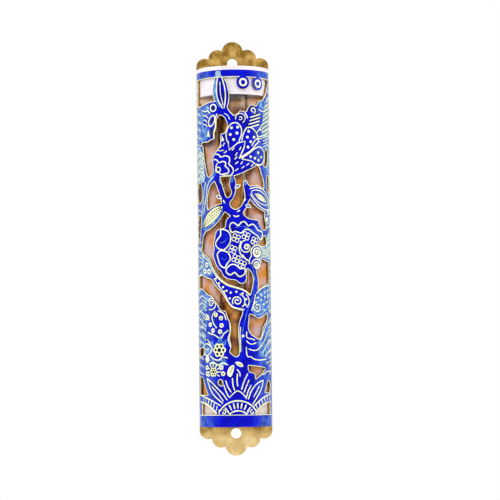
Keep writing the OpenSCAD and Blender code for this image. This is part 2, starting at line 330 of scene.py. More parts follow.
def windows(d):
    """The openings, as the plate is seen through them."""
    top = BAND_HIGH - 0.05
    low = BAND_LOW + 0.1
    side = 17.2
    outlines = [
        # left of the hanging leaf
        chained([(-6.9, top)], [(-7.7, 121.8), (-8.1, 119.3), (-7.7, 117), (-7.1, 115.5)],
            [(-9, 115.5), (-11, 115.1), (-13.8, 114.5), (-side, 114.4)], [(-side, top)]),
        # right of the leaf, with the rings in it
        chained([(-3.6, top)],
            [(-2.5, 122), (-1.9, 119.5), (-1.6, 117.3), (-1.8, 115), (-2.2, 113.2), (-1.6, 111.9),
             (-0.2, 110.3)],
            [(1.2, 110.9), (2.3, 111.9), (4.3, 111.6), (5.1, 113), (6.4, 114.2), (8.6, 114),
             (9.6, 115.5), (11.8, 116.3), (13.3, 117.8), (14.6, 119.6), (15.3, 121.5), (16.4, 122.8)],
            [(16.4, top)]),
        # between the small bird and the great bird
        rounded((-5.5, 110.3), (-4, 110), (-2.5, 107.3), (-2.8, 105.2), (-3.7, 103.9), (-4.8, 103.8),
            (-5, 101.4), (-5.3, 99.6), (-6.3, 98.2), (-7.6, 96.6), (-8.4, 94.7), (-8.2, 92.4),
            (-8.3, 90.2), (-10, 88.7), (-10.9, 89.1), (-11.8, 92), (-12.8, 95.3), (-13.2, 98),
            (-13.5, 99.7), (-14.8, 100.7), (-12.8, 101.2), (-10.7, 101.1), (-9, 101.8), (-7.4, 102.2),
            (-7.5, 104), (-6.7, 106), (-6.5, 108.7)),
        # round the forked twig
        chained([(-6.9, 85.4), (-6, 83.2), (-5.2, 80.7), (-4.9, 79)],
            [(-6.7, 78.6), (-8.7, 77.8), (-10.8, 77)],
            [(-11.2, 78.9), (-11, 81.4), (-10.2, 83.9), (-9, 85.8), (-7.6, 86.9)]),
        chained([(-1.3, 88.4)],
            [(-1.9, 86.4), (-1.8, 84.6), (-1.2, 82.8), (-2, 81.3), (-2.8, 81.2), (-3.7, 83.2),
             (-4.6, 86), (-5.4, 88.5)]),
        chained([(0.5, 86.6), (0.5, 84.4), (0.2, 82.4), (-0.6, 80.6), (-1.7, 79.1), (-1.3, 77.7),
             (0, 76.9), (1.5, 77.4), (2.8, 79.1), (3.5, 81), (3.3, 83.4), (3, 85.2), (3.3, 86.9),
             (4.2, 87.2), (4.9, 85.9), (5.6, 85.2)], [(7.5, 85.5), (9.4, 85.4), (12, 84.4)],
            [(12, 86.6), (10.8, 89.5), (9.6, 92), (8.4, 92.5), (7.3, 91.8), (4.7, 90.6), (2.2, 89.4),
             (-0.2, 88.6)]),
        chained([(6.8, 79), (9, 77.4), (12.6, 76.1)], [(12.5, 73.6), (13.4, 71.4), (13.2, 70)],
            [(11.3, 69.8), (9.6, 71.6), (9.1, 73.1)],
            [(6.8, 73.4), (5.2, 73.6), (3.2, 75), (3.2, 75.9), (4.1, 77.1), (4.9, 79), (5.6, 80.5)]),
        # round the flower's left and foot
        chained([(-1.7, 74.4)],
            [(-2.8, 73.6), (-3.4, 72.2), (-3.8, 70.4), (-6.3, 69.8), (-7.3, 68.6), (-7.8, 66.8),
             (-8.4, 64.7), (-8.1, 63), (-8.6, 60.8), (-7.8, 58.4), (-6.8, 56.4), (-5.4, 55),
             (-4.3, 53.1), (-2.3, 52), (0, 51.6), (1.4, 50.6), (3, 50.6), (3.9, 52), (3.9, 54),
             (4.2, 55.8)], [(5.3, 55), (6.3, 53.2), (6.4, 50.7), (5.7, 47.9), (5.3, 46.5)],
            [(4, 47.8), (1.7, 48.9), (-1.3, 49.8), (-4, 51.1), (-6, 52.8), (-7.7, 55), (-9, 57),
             (-9.8, 59.1), (-11.3, 60.3), (-13.8, 61.6), (-15.2, 62.8), (-14.5, 65.3), (-13.6, 68)],
            [(-12, 69.2), (-10, 69.9), (-6.9, 71.8), (-5, 73.9), (-3.7, 75.9)]),
        # from the left side down past the trunk
        chained([(-14.5, 53.7), (-12, 52.8), (-9.3, 52), (-8.2, 50.6), (-6, 48.2), (-4.3, 46.2),
             (-3, 44), (-1.4, 42.1), (0.4, 41.4), (2.3, 40.8)],
            [(2.1, 39.5), (1.3, 37.5), (0.8, 35.2), (0.7, 32.3), (1, 28), (0.7, 25.2), (-0.1, 24.8),
             (-1.5, 25.6), (-2.3, 26.4)],
            [(-1.8, 28.4), (-2.3, 31.2), (-1.9, 33.6), (-1.9, 35.8), (-2.8, 38.2), (-3.7, 40.9)],
            [(-5.6, 41.3), (-6.7, 43), (-8, 44.7), (-9.4, 46.2), (-11.3, 46.9), (-13.2, 48.2),
             (-15, 49.1), (-side, 49.2)], [(-side, 53.6)]),
        # right of the trunk
        rounded((5, 39.6), (6.7, 39.1), (8.4, 38.2), (11, 39), (13.3, 40.1), (13.4, 38), (11.2, 35.6),
            (10.4, 33.4), (9.6, 31.4), (8.3, 31), (7, 31.7), (5.4, 32.7), (4.6, 34.2), (4.5, 36),
            (4.8, 37.8)),
        rounded((8.9, 64.3), (11, 66.6), (12.1, 67.8), (13.4, 66), (13.3, 64.6), (11, 63.9)),
        rounded((10.5, 59.2), (13.6, 58.5), (15.2, 58.4), (15.3, 54.5), (15.2, 51), (13.4, 50.6),
            (11.4, 49.9), (8.6, 48.4), (8.8, 50.6), (8.5, 53), (8, 55.1), (9.5, 56.6)),
        chained([(8.2, 21.2), (11.9, 20.6)], [(10.3, 19), (7.1, 16.8)],
            [(6.7, 18.8), (4.6, 19.5), (4.2, 21.6)]),
        rounded((-6.9, 15.6), (-6.1, 16.7), (-5.3, 16.3), (-5.1, 14.9), (-5.7, 14.5)),
        # beside the fan's arms
        chained([(-16.2, 8.4), (-13, 7.8), (-10.5, 6.7), (-8.8, 5.4), (-7.8, low)], [(-16.2, low)]),
        chained([(8, 6.1), (10, 7.3), (12.6, 8.2), (14.9, 8.7)], [(14.9, low)], [(7, low)]),
        chained([(-14.5, 11.4), (-11.7, 11.3)], [(-12.6, 12.9), (-14, 15.4), (-15.2, 17.5)],
            [(-side, 17.9)], [(-side, 11.4)]),
        rounded((11.4, 12), (13, 12.1), (14.9, 12.3), (14.9, 15.8), (13.4, 16.2), (12.4, 14.4)),
        # along the sides
        rounded((-side, 86.6), (-15.2, 86.4), (-14.5, 84), (-14.7, 81.2), (-15.6, 79.9), (-side, 80)),
        rounded((-side, 75.1), (-15.7, 74.9), (-15.4, 73), (-15.8, 70.8), (-16.4, 68.4), (-16.6, 66),
            (-side, 65.4)),
        rounded((-side, 27.6), (-14.4, 28), (-13.4, 27.3), (-13.7, 26.2), (-15, 25.3), (-side, 25)),
        rounded((12.1, 92.8), (12.9, 95.1), (12.9, 97.3), (13.6, 98.8), (14.8, 98.4), (14.8, 94),
            (13.4, 92.3)),
        rounded((14, 89), (15.6, 89.2), (15.8, 83.4), (14.3, 83.7), (14.2, 86.4)),
    ]
    for o in outlines:
        d.window(o)


def bands(d):
    """The enamelled bands at both ends, and the lines that close the panel."""
    d.flat([(-7.2, BAND_HIGH + HALF_LINE), (-4.6, BAND_HIGH + HALF_LINE), (-4.8, COVER_H - 0.3),
        (-6.6, COVER_H - 0.3)], "pale")
    for v in (BAND_LOW, BAND_HIGH):
        d.stroke([(-EDGE_U, v), (EDGE_U, v)], 0.26, smooth=False, ends=False)


def small_birds(d):
    # the side of the cover behind the small bird
    d.flat([(-EDGE_U, 114), (-14.5, 114.2), (-12.6, 110.5), (-13.2, 106), (-13.6, 101.5),
        (-EDGE_U, 101.5)], "sky")
    # the hanging leaf
    d.fill([(-7.6, 120.6), (-7.7, 117.4), (-6.6, 114.9), (-5, 113), (-5.6, 116), (-6.5, 119),
        (-6.1, 123.4), (-7.1, 122.6)], "sky")
    d.stroke([(-5.9, 124.3), (-6.4, 119.4), (-5.9, 116), (-4.1, 112.9)])
    d.stroke([(-4.4, 124.3), (-3.2, 120), (-3, 116.3), (-3.5, 113)])
    d.strokes(0.4, [(-5.5, 121.8), (-5.3, 117.8), (-4.3, 114.4)],
        [(-4.5, 121.8), (-4.2, 117.8), (-3.6, 114.8)], tone="dark")
    d.strokes(0.3, [(-5, 122.3), (-4.8, 118), (-3.9, 114)],
        [(-3.4, 111), (-2.2, 110.2), (-1.5, 108.8)])
    # the small bird's head, wing and tail
    d.fill([(-13.4, 113.3), (-10.4, 114.2), (-9.7, 112.6), (-10.3, 111), (-13, 110.8)], "sky")
    d.strokes(0.4, [(-13.9, 112.8), (-12, 112.2), (-10.4, 112.3), (-9.4, 111.3)],
        [(-13.4, 110.8), (-11.6, 110.6), (-10.3, 109.8)])
    d.ring((-7.9, 113.2), 1.25, 0.5)
    d.dots([(-7.9, 113.2)], 0.55, "dark")
    d.flat(oval((-8.6, 108.6), 2.3, 1.45, 62), "line")
    d.flat(oval((-8.6, 108.6), 1.8, 1, 62), "blue")
    d.flat(oval((-8.6, 108.6), 1.1, 0.5, 62), "dark")
    d.stroke([(-6.4, 110.9), (-7, 109), (-7, 106.5), (-7.8, 104.3), (-7.7, 102.6)], 0.4)
    d.stroke([(-12.2, 101.8), (-12, 105), (-10.8, 107.4)], 0.34, "dark")
    d.strokes(0.3, [(-13.8, 112.2), (-12, 111.5), (-10.2, 111.5)],
        [(-13.2, 108.4), (-11.6, 108.2), (-10.8, 107.6)], tone="dark")
    d.fill([(-13, 102.2), (-12.8, 106.4), (-11.2, 106.6), (-10.7, 102.6)], "sky")
    d.flat([(-10.9, 103.2), (-10.2, 105.7), (-9.4, 102.9)], "line")
    d.flat([(-9.1, 102.6), (-8.9, 105.9), (-8.2, 105.9), (-8.1, 102.7)], "dark")
    d.strokes(0.4, [(-12.9, 107.6), (-11.5, 107.4), (-10.6, 106.7)],
        [(-12.9, 109.2), (-11.7, 109.1), (-10.9, 108.3)])
    # curls between the birds
    d.bend(arc((2.3, 109.2), 1.15, -130, 160), 0.5, "dark")
    d.bend(arc((2.3, 109.2), 0.55, -130, 130, 8), 0.35)
    d.bend(arc((2.3, 109.2), 1.75, -60, 190), 0.35)
    d.bend(curl((7.1, 112.2), 1.75, 1.3, -70, 290), 0.45, "dark")
    d.bend(curl((7.1, 112.2), 1.15, 0.5, -60, 330), 0.5)
    d.stroke([(4.1, 111), (4.5, 110.3), (4.9, 109.4)], 0.5)
    d.stroke([(3.9, 108.2), (4.6, 107.2), (5.2, 105.9)], 0.5, "dark")
    for i in range(4):
        d.stroke([(5.2 + 0.3 * i, 105.9 + 1.25 * i), (9.8 + 0.2 * i, 107.3 + 1.25 * i)], 0.46)
        d.stroke([(5.6 + 0.3 * i, 106.6 + 1.25 * i), (9.6 + 0.2 * i, 107.9 + 1.25 * i)], 0.4, "dark")
    d.strokes(0.42, [(8.6, 104.3), (10, 105.6), (11.2, 107.2), (12.6, 108.2)],
        [(10, 105.6), (11.6, 105.4), (13, 106)],
        [(9.6, 103), (11.2, 103.2), (13.2, 104)])
    d.fill([(9.9, 113.9), (11.6, 113), (14, 114.2), (14.8, 116.4), (12.6, 116.2), (10.6, 115.3)], "sky")
    d.stroke([(9.8, 112.8), (11.4, 112.2), (13.6, 113.2), (15.4, 115.8)], 0.4)
    d.flat([(11.2, 103.2), (11.6, 108), (12.4, 112.4), (14.6, 117.4), (EDGE_U, 119), (EDGE_U, 103.2)],
        "pale")
    for i in range(16):
        v = 103.2 + 0.72 * i
        d.stroke([(11.3 + 0.1 * i, v), (13.2, v + 0.7), (15.4, v + 1.7)], 0.3,
            "dark" if i % 2 else "line")


def great_bird(d):
    # the leaf and the branch on its left
    d.flat([(-EDGE_U, 100.4), (-15.6, 99.6), (-13.9, 97), (-13, 92.5), (-12.2, 88.6), (-13, 86.9),
        (-EDGE_U, 87.2)], "pale")
    for v in (88.4, 89.8, 91.2, 92.6, 94, 95.4, 96.8):
        d.stroke([(-12.7, v - 0.6), (-14.2, v + 0.6), (-16.2, v + 1.3)], 0.34)
    # bottom line, eye and crest
    d.stroke([(-6.4, 93.2), (-6.9, 91.9), (-5.2, 89.5), (-3.1, 88.9), (-0.9, 88.9)], 0.4)
    d.ring((-6.1, 91), 0.95, 0.42)
    d.dots([(-6.1, 91)], 0.42, "dark")
    d.flat([(-4.7, 101), (-4.4, 103.1), (-3.6, 101.3)], "line")
    # three feathered lobes with dots
    d.stroke([(-2.5, 100.9), (-2.9, 103.2), (-2.2, 105.8), (-0.7, 107.4), (1, 107.5), (2.4, 106.1),
        (2.6, 103.6), (1.7, 101)])
    d.dots([(-0.9, 105.8), (1.3, 106), (-1.4, 103.4), (1, 103.9), (-0.2, 101.6)], 0.52)
    d.stroke([(2.7, 101.3), (3.4, 103.9), (4.9, 106), (6.9, 105.7), (8.7, 104), (9.3, 101.7)])
    d.dots([(5.3, 104.6), (4.8, 102.5), (7.5, 102.6), (6.1, 100.9), (5, 99)], 0.52)
    d.stroke([(2.7, 94.8), (5.3, 96.7), (7.7, 98.5), (10, 99.3), (11.7, 98.4), (12.5, 96.7), (12, 94.5),
        (10.8, 93), (8.3, 93), (6, 94.1), (4.4, 94.4)], closed=True)
    d.dots([(9.3, 97.2), (10.8, 95.7), (6, 95.6), (7.8, 95.1), (9.4, 94.5)], 0.5)
    d.bend([(-2.2, 101), (-1.8, 97.9), (1.3, 100.4), (3.9, 101), (3.5, 98.7), (1.8, 95)], 0.48)
    d.stroke([(1.8, 95), (3.3, 95.9), (6.3, 97.9), (8.3, 100), (9.9, 101.4)], 0.48)
    d.stroke([(6.5, 99.6), (8.4, 101.9), (11.2, 102.4)], 0.4)
    d.strokes(0.34, [(-3, 101.2), (-3.4, 103.6), (-2.7, 106.2), (-1, 108)],
        [(3, 103.9), (3.5, 105.2), (4.8, 106.6)], tone="dark")
    # collar
    d.strokes(0.46, [(-7.2, 96.6), (-5.8, 96.4), (-5, 95.5), (-3.2, 95.9), (-1.9, 95.3), (-1.7, 94),
         (-2, 92.9), (-0.8, 91.7), (-0.4, 90.3), (-1.2, 89)],
        [(-7.7, 94.7), (-6.7, 94.6), (-5.6, 93.5), (-4.3, 93.9), (-3.1, 93.3), (-3.3, 92.2), (-2.1, 91),
         (-2.3, 89.8), (-4.2, 89.4)])
    d.stroke([(-6.8, 98.3), (-5.2, 97.7), (-3.9, 97.9)], 0.4)
    # marks on the body
    d.dashes([(-3.8, 99.9), (-5, 99.2), (2.1, 98.4), (0.7, 96.4)], 1.1, 62)
    d.dashes([(-3.2, 97.2), (0.8, 93.3), (3, 91.7), (4.8, 92.8), (0.8, 90.9)], 1.1, 35)
    d.dashes([(-0.4, 98.2), (0.5, 95), (2.6, 93.3), (6.6, 92.6)], 1, 48)
    # the side on the right
    d.flat([(13.2, 103.4), (12.8, 99.6), (13.6, 98.6), (13.2, 92), (13.6, 88.4), (EDGE_U, 88.4),
        (EDGE_U, 103.4)], "sky")
    for v in (99.4, 100.5, 101.6, 102.7):
        d.stroke([(11.9, v), (13.4, v + 0.5), (15.2, v + 1.2)], 0.34)


def branch(d):
    # the branch on the left
    d.stroke([(-7.6, 90), (-9.2, 88), (-10.9, 86.4), (-11.6, 84.4), (-12.2, 82), (-13, 78.7),
        (-14, 75.3), (-14.6, 71.4)], 1.5, "sky")
    d.stroke([(-8, 88.6), (-10, 87), (-11, 85), (-11.6, 82.5), (-12.4, 79), (-13.3, 75.8)], 0.3)
    d.stroke([(-12, 86.8), (-13, 84), (-13.7, 81), (-14.5, 77.4), (-15.2, 75)], 0.36)
    d.flat([(-EDGE_U, 86.5), (-17.6, 86.5), (-17.6, 66), (-EDGE_U, 66)], "pale")
    # the forked twig
    d.strokes(0.3, [(-6, 87.3), (-5.6, 85.6), (-4.6, 82.6), (-3.4, 79.8)],
        [(-0.7, 86.9), (-0.7, 84.8), (-0.5, 82.6)],
        [(4.1, 86.6), (4.2, 84), (4.1, 82), (3.2, 79.2), (1.8, 77.2)], tone="dark")
    d.stroke([(-0.4, 74.5), (0.5, 74.2), (1.3, 74.5)], 0.5)
    for bud, turn in (((-5.3, 86.9), 110), ((-0.9, 87.2), 80), ((4, 86.2), 75)):
        d.flat(oval(bud, 0.9, 0.4, turn, 12), "sky")
    for bud, turn in (((-3.9, 79.6), -60), ((3.5, 80), 50), ((1.3, 76.2), 25)):
        d.flat(oval(bud, 0.7, 0.22, turn, 10), "line")
    # the dotted leaf on the left
    top = [(-4.3, 78), (-6.7, 77.9), (-9.3, 76.8), (-11.7, 75), (-13.3, 72.9), (-14.3, 70.9)]
    low = [(-14.3, 70.9), (-12.4, 70.9), (-10, 71.6), (-7.7, 73), (-5.7, 75), (-4.3, 78)]
    d.flat(joined(lowered(top, 0.1), lowered(low, 1.1)), "sky")
    d.flat(joined(top, low), "line")
    d.stroke(joined(top, low), 0.2, "dark", closed=True, smooth=False)
    upper = spline(top, steps=6)
    lower = spline(low[::-1], steps=6)
    for i in range(3, len(upper) - 3):
        a, b = upper[i], lower[i]
        for t in (0.28, 0.72) if i % 2 else (0.5,):
            d.dots([a.lerp(b, t)], 0.27, "dark")
    # the leaf on the right
    d.strokes(0.42, [(5.6, 84.2), (8.3, 84.8), (11.6, 84), (13.6, 82.6), (15.2, 80.6)],
        [(5.8, 82), (7, 80.5), (9, 78.6), (11.7, 77.3), (14.4, 76.9)])
    d.stroke([(6.2, 83.2), (8.6, 83.8), (11.7, 82.8), (14.6, 80), (14.6, 79), (11.8, 78.7), (8.9, 79.7),
        (6.8, 81.5)], 0.34, closed=True)
    core = joined([(7.4, 82.4), (9.2, 82.5), (11.6, 81.5), (13.8, 79.7)],
                  [(13.8, 79.7), (11.6, 79.8), (9.4, 80.6), (7.4, 82.4)])
    d.flat(core, "line")
    d.dots([(8.7, 81.9), (9.9, 81.5), (11.1, 81), (12.3, 80.3)], 0.24, "dark")
    # below it
    d.disc((13.9, 73.6), 0.9, 12, "line")
    d.flat([(14.4, 76), (16, 75), (15.4, 70.5), (EDGE_U, 70), (EDGE_U, 88), (16, 88), (15.7, 81)],
        "pale")
    for v in (70.6, 71.9, 75.2, 76.5):
        d.stroke([(13.9, v), (14.8, v + 0.5), (16, v + 0.8)], 0.34)


def flower(d):
    petals = [
        [(-5.2, 69.7), (-5.3, 67.8), (-6.7, 66.1), (-7.4, 64.8), (-6.5, 63.2), (-4.3, 62.5),
         (-2.7, 63.7), (-1.8, 65.3), (-1.7, 67.6), (-2.8, 69.2)],
        [(-5.5, 62.2), (-6.7, 61), (-6.4, 59.4), (-5.8, 57.6), (-4.8, 56.4), (-3.8, 56.2),
         (-3, 57.5), (-1.9, 59), (-2, 60.5), (-3, 61.7)],
        [(-3.4, 55.4), (-3, 54.2), (-1.8, 53.6), (-0.3, 54.4), (1.2, 53), (2.8, 53.5),
         (3.5, 55), (3, 56), (1.8, 55.7), (0.8, 56.5), (-0.5, 57.3), (-2, 57)],
        [(-1.9, 71.1), (-0.9, 72.1), (0, 71.8), (1.1, 71), (2.4, 72.3), (3.5, 72.3),
         (4.8, 71), (6.3, 71.6), (7.7, 70.8), (8.5, 69.6), (10.6, 69), (10.9, 67.8),
         (10, 66.2), (8.5, 67.5), (6.5, 68.6), (4.7, 69.7), (3.4, 69.5), (2.2, 68.4),
         (0.1, 68.9), (-1.2, 68.6)],
    ]
    for p in petals:
        d.stroke(p, 0.5, closed=True)
    # petal veins
    d.strokes(0.3, [(-5.4, 65), (-4, 65.4), (-3, 66.6)],
        [(-5, 59.6), (-3.9, 59), (-3.2, 59.6)],
        [(0.4, 70.4), (2.6, 70.8), (5, 70), (7.6, 69)], tone="sky")
    # heart of the flower
    for c in ((0.3, 66.6), (3.9, 67.4), (7.2, 65.6), (-0.9, 62.6), (0.2, 59.3), (2.4, 57.3)):
        d.loops(c, 1.6, 4)
    d.bend(curl((4, 63.4), 2.5, 0.7, 100, 420, 30), 0.45)
    d.strokes(0.5, [(2, 65.4), (1.4, 62.8), (1.8, 61), (2.6, 59.6)],
        [(2.6, 60.6), (3.4, 59.4), (4.6, 58.6)])
    d.buttons([(4, 63.4)], 0.9, 0.4, "blue")
    d.stroke([(5.6, 64.4), (5.7, 62.6), (5, 61.3), (4.4, 59.6)], 0.6, "dark")
    d.stroke([(5.9, 60.4), (5, 58.8), (5, 57.6)], 0.42)
    # curled sepals
    d.bend(arc((8.3, 61.6), 2.6, -80, 200), 0.42)
    d.disc((8.3, 61.6), 1.9, 18, "line")
    d.bend(curl((8.3, 61.6), 1.4, 0.3, 20, 400), 0.42, "blue")
    d.bend(arc((8, 57.2), 2, 170, -60), 0.42)
    d.disc((8, 57.1), 1.35, 16, "line")
    d.bend(curl((8, 57.1), 0.9, 0.2, 200, -400), 0.36, "blue")
    # petals and leaves towards the sides
    d.flat([(10.6, 63.2), (10.2, 60), (13.6, 59.3), (EDGE_U, 59.2), (EDGE_U, 70), (15.6, 70), (14, 67)],
        "pale")
    for v in (60.2, 61.3, 62.4):
        d.stroke([(11, v), (13, v + 0.3), (15.4, v + 1.5)], 0.36)
    for v in (65, 66.3, 67.6):
        d.stroke([(13.9, v), (14.8, v + 0.5), (16, v + 0.9)], 0.34)
    d.flat([(-EDGE_U, 65), (-15.8, 64.6), (-15.6, 62.6), (-13.4, 61), (-10.2, 59.4), (-9.2, 56),
        (-8.6, 53.2), (-12.4, 53.3), (-EDGE_U, 54.2)], "sky")
    d.stroke([(-14.6, 61.2), (-12.4, 59.8), (-10.6, 58.6), (-9.6, 56.6)], 0.4)
    for v in (56.6, 57.9, 59.2, 60.5):
        d.stroke([(-16, v + 0.9), (-14.6, v + 0.4), (-13.6, v - 0.5)], 0.34)
    d.buttons([(-11.8, 57.4), (-10.6, 55), (-13, 55.2)], 0.95, 0.42, "blue")
    # the trunk's top
    d.stroke([(5.3, 58.2), (6.4, 56), (7, 53.8), (7.2, 51.6)], 0.34, "sky")


def lower_birds(d):
    # the dotted bird on the left
    d.stroke([(-9.2, 56.2), (-7.8, 54), (-5.5, 51.7), (-3, 50), (0, 49), (3, 48), (5, 46.4)], 0.45)
    d.stroke([(-8.2, 52.4), (-5.9, 49.4), (-3.9, 46.7), (-2.5, 43.9), (-1, 42.3), (1, 41.7),
        (2.9, 41.3)], 0.4)
    d.dots([(-7.4, 52.4), (-6.1, 50.7), (-4.6, 49.3), (-3.3, 48), (-1.8, 47.3), (-4.2, 47.7),
        (0.2, 47.6), (2.4, 47), (-2.2, 45.3), (3.7, 45), (3.4, 43)], 0.4)
    d.bend(curl((0.5, 44.3), 1.8, 0.4, -150, -540, 30), 0.45)
    d.bend(arc((0.6, 44.3), 2.6, -50, 70), 0.4)
    d.bend(arc((1.8, 44.3), 3, -45, 50), 0.4)
    # the dotted bird on the right
    d.flat([(8.4, 47), (11, 48.9), (15.4, 50), (EDGE_U, 50), (EDGE_U, 40.4), (13.4, 40.6), (11, 39.6),
        (9, 38.9), (7.2, 39.4), (5.9, 40.6), (6.6, 44)], "sky")
    d.strokes(0.42, [(7.9, 47.2), (9.4, 48.4), (11.4, 49.4), (15, 50.1), (19.6, 50.4)],
        [(7.3, 46.6), (6.7, 43.8), (5.7, 41)])
    d.bend(curl((8.2, 42.2), 2, 0.4, 100, 540, 30), 0.45)
    d.dots([(8.3, 45.5), (10, 46.6), (11.9, 47.7), (10, 44.8), (11.9, 45.8), (13.8, 48.3), (13.8, 46.2),
        (11.3, 43.3), (13.3, 44.2), (11.8, 41.2), (15, 42.4), (15.6, 44.6), (17.4, 47)], 0.4)
    # the side on the left
    d.flat([(-EDGE_U, 48.6), (-15, 48.6), (-13.2, 47.6), (-11.3, 46.2), (-9.6, 45.6), (-12, 41),
        (-EDGE_U, 41)], "sky")
    for v in (41.6, 42.9, 44.2, 45.5):
        d.stroke([(-15.4, v + 1.1), (-13.9, v + 0.6), (-12.4, v - 0.4)], 0.34)


def trunk(d):
    d.stroke([(6.6, 49.8), (6.6, 47), (5.4, 44), (4.2, 41), (3.3, 38), (2.4, 34), (1.9, 30), (2, 26.6)],
        0.3, "sky")
    d.stroke([(1.5, 35), (1.3, 32), (1.5, 29), (1.4, 26.4)], 0.4)
    d.dots([(2.4, 32)], 0.5)
    # blossom on the left
    d.flat([(-EDGE_U, 40.6), (-13, 40.6), (-11.6, 38), (-12.6, 34), (-13, 29), (-EDGE_U, 28.4)], "sky")
    d.bend(curl((-9.6, 43.6), 2.2, 1.8, -120, 270), 0.42)
    d.bend(curl((-9.6, 43.6), 1.3, 0.4, 0, 400), 0.42)
    d.buttons([(-5.5, 38.4), (-5.3, 35.8), (-5.9, 33.6), (-10.2, 36.2), (-8.9, 34.1), (-7.6, 39.6),
        (-11.8, 38.6)], 0.82, 0.28, "dark")
    d.stroke([(-3.6, 40.6), (-2.7, 38.4), (-2.2, 36), (-2.2, 33.4), (-2.9, 31), (-2.2, 28.4)], 0.36)
    d.stroke([(-11.4, 33.4), (-9.8, 32.9), (-8, 32.4), (-6.6, 31.5), (-5.6, 31), (-4.6, 32.7),
        (-2.9, 34)], 0.46)
    d.strokes(0.44, [(-8, 40.8), (-9.3, 39), (-8.6, 36.6), (-7.3, 35)],
        [(-6.7, 41), (-4.4, 39.9), (-3.6, 37.8)],
        [(-12.4, 40), (-11, 39), (-10.8, 37.8)])
    d.fill([(-9.4, 30.6), (-8.4, 29), (-7, 30.2), (-6, 32.4), (-4.8, 30.2), (-3.6, 31), (-4, 28.8),
        (-8.9, 28.2)], "sky")
    d.floret((-6.3, 27.1), 2.5, 6)
    d.fill([(-10.8, 30.4), (-9.2, 29.6), (-9, 28), (-10.6, 27.2), (-11.6, 28.6)], "sky")
    d.stroke([(-11.8, 31), (-10.6, 29.6), (-10.6, 27.8), (-11.6, 26.4)], 0.44)
    d.fill([(-15, 27.2), (-12.4, 29.4), (-9.4, 27.6), (-11.8, 25.4)], "sky")
    d.stroke([(-15.4, 27.2), (-12.4, 29.5), (-9.3, 27.7), (-11.8, 25.3)], 0.46, closed=True)
    d.stroke([(-14, 27.3), (-11, 27.6)], 0.34)
    d.fill([(-12.2, 22.6), (-13.3, 24.2), (-11.7, 25.2), (-10.7, 23.6)], "line")
    d.fill([(-9.8, 24.6), (-7.6, 23.2), (-4.4, 24.2), (-3.6, 22.4), (-7, 21), (-10, 22.2)], "sky")
    d.strokes(0.5, [(-10.2, 25), (-8.6, 24), (-6.6, 23.6), (-4.8, 24.6), (-3.3, 24.3)],
        [(-10.6, 22.4), (-8.6, 22.7), (-6.8, 21.8), (-4.8, 22.6), (-3.2, 21.9)])
    d.stroke([(-8.4, 23.6), (-7.4, 22.6), (-5.8, 23)], 0.4, "dark")
    d.floret((-8.9, 19.4), 1.7, 6)
    d.fan((-8.9, 19.4), 2, 2.9, range(-30, 211, 30), 0.42)
    d.fan((-8.9, 19.4), 2, 2.9, range(-15, 200, 30), 0.3, "dark")
    d.buttons([(-12.2, 21), (-12.1, 18.8), (-5.6, 20.9), (-4.9, 18.8)], 0.85, 0.3, "dark")
    for i in range(8):
        v = 31.2 + 1.2 * i
        d.stroke([(-15.6, v + 1.1), (-14.2, v + 0.5), (-12.8, v - 0.4)], 0.34,
            "dark" if i % 3 == 2 else "line")
    # the foot of the trunk
    d.fill([(-3.3, 18.4), (-2.2, 17.6), (-1.2, 19.4), (-0.9, 21.7), (-2.2, 21.4), (-3.1, 20)], "line")
    d.stroke([(-2.5, 18.8), (-1.7, 20.2), (-1.5, 21)], 0.24, "dark")
    d.fill([(-0.4, 22.8), (0.6, 22.9), (2, 22.3), (2.3, 21.2), (1.2, 21.2), (0.1, 21.8)], "line")
    d.stroke([(0.3, 22.3), (1.5, 21.7)], 0.24, "dark")
    d.stroke([(0.2, 20.2), (1.1, 19), (1.2, 17.9)], 0.42)
    # leaf and tendrils on the right
    d.flat([(8.4, 30), (12.6, 34.6), (14, 37), (EDGE_U, 38), (EDGE_U, 23), (13, 24.2), (8.6, 25)],
        "sky")
    d.strokes(0.42, [(3.7, 33.4), (3.9, 31.4), (5.4, 31), (6.8, 30.6)],
        [(3.7, 30.2), (4.6, 29.4), (5.8, 29.1), (7.4, 29.6)],
        [(4.6, 27.4), (6.2, 26.9), (8.2, 27.2), (9.6, 28.6)],
        [(3.6, 28), (3.6, 26.4), (4, 24.8), (5.2, 24.6), (6.6, 23.8), (9, 23.5), (12.3, 23.8)],
        [(9.2, 30.6), (10.8, 32.9), (12.2, 35.4), (14, 37), (19.6, 38)],
        [(9.8, 28.4), (11.6, 30.6), (13.2, 33), (15.2, 34.2)],
        [(10.4, 26), (12.4, 28.4), (14.4, 30.4), (19.6, 31)],
        [(11.8, 24.8), (14, 26.4), (19.6, 27)],
        [(12.6, 22.4), (14.6, 23), (19.6, 23)],
        [(8.6, 19.4), (10.6, 18.4), (12.6, 19.4), (15.4, 19.6)])


